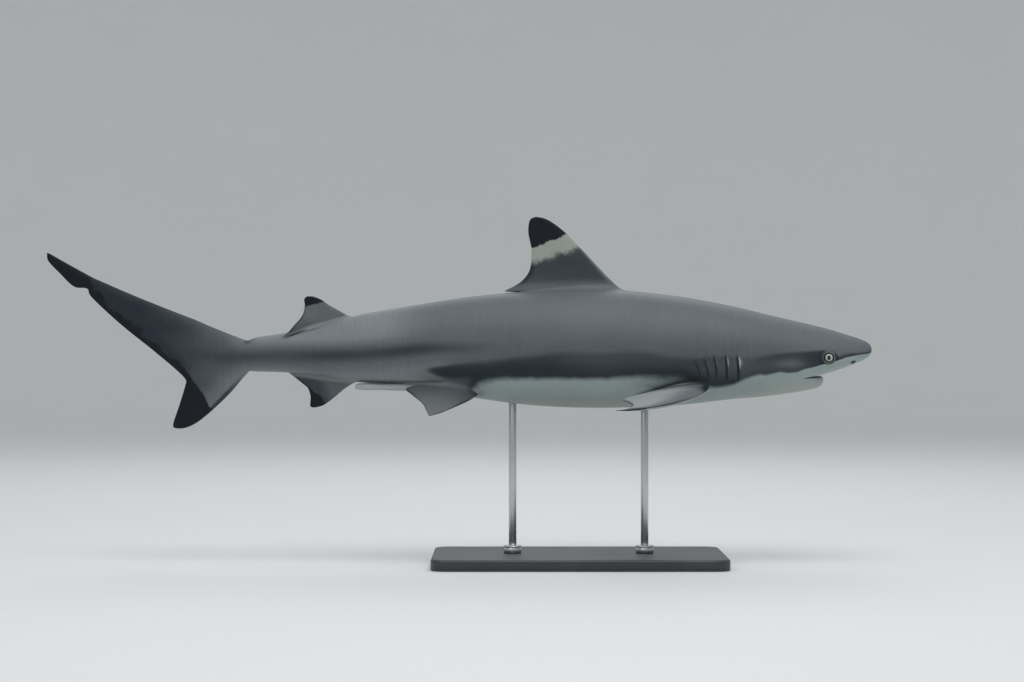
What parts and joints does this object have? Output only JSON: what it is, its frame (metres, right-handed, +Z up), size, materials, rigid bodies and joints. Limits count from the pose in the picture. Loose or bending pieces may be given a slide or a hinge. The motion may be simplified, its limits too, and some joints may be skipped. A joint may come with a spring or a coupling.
{
  "type": "blacktip reef shark",
  "caption": "Life-size still model of an adult male blacktip reef shark, level as it swims, held over a flat base by short rods.",
  "frame": {"origin": "on the floor under the middle of the shark's length", "axes": "+X towards the snout, +Z up, -Y towards the shark's right side"},
  "size_m": [1.3, 0.507, 0.5471],
  "materials": {
    "skin": "smooth satin skin with very fine scales, brown-grey above, white below, black fin tips",
    "eye": "wet gloss, pale yellow-green iris with a dark upright slit pupil",
    "base": "satin charcoal paint",
    "rod": "brushed"
  },
  "bodies": {
    "root": {"head": "skin", "lower_jaw": "skin", "gill_region": "skin", "trunk_front": "skin", "trunk_middle": "skin", "trunk_rear": "skin", "tail_stem": "skin", "caudal_upper_lobe": "skin", "caudal_lower_lobe": "skin", "first_dorsal_fin": "skin", "second_dorsal_fin": "skin", "anal_fin": "skin", "pectoral_fin_right": "skin", "pectoral_fin_left": "skin", "pelvic_fin_right": "skin", "pelvic_fin_left": "skin", "clasper_right": "skin", "clasper_left": "skin", "eye_right": "eye", "eye_left": "eye", "stand_base": "base", "stand_rod_front": "rod", "stand_collar_front": "rod", "stand_rod_rear": "rod", "stand_collar_rear": "rod"}
  },
  "joints": []
}
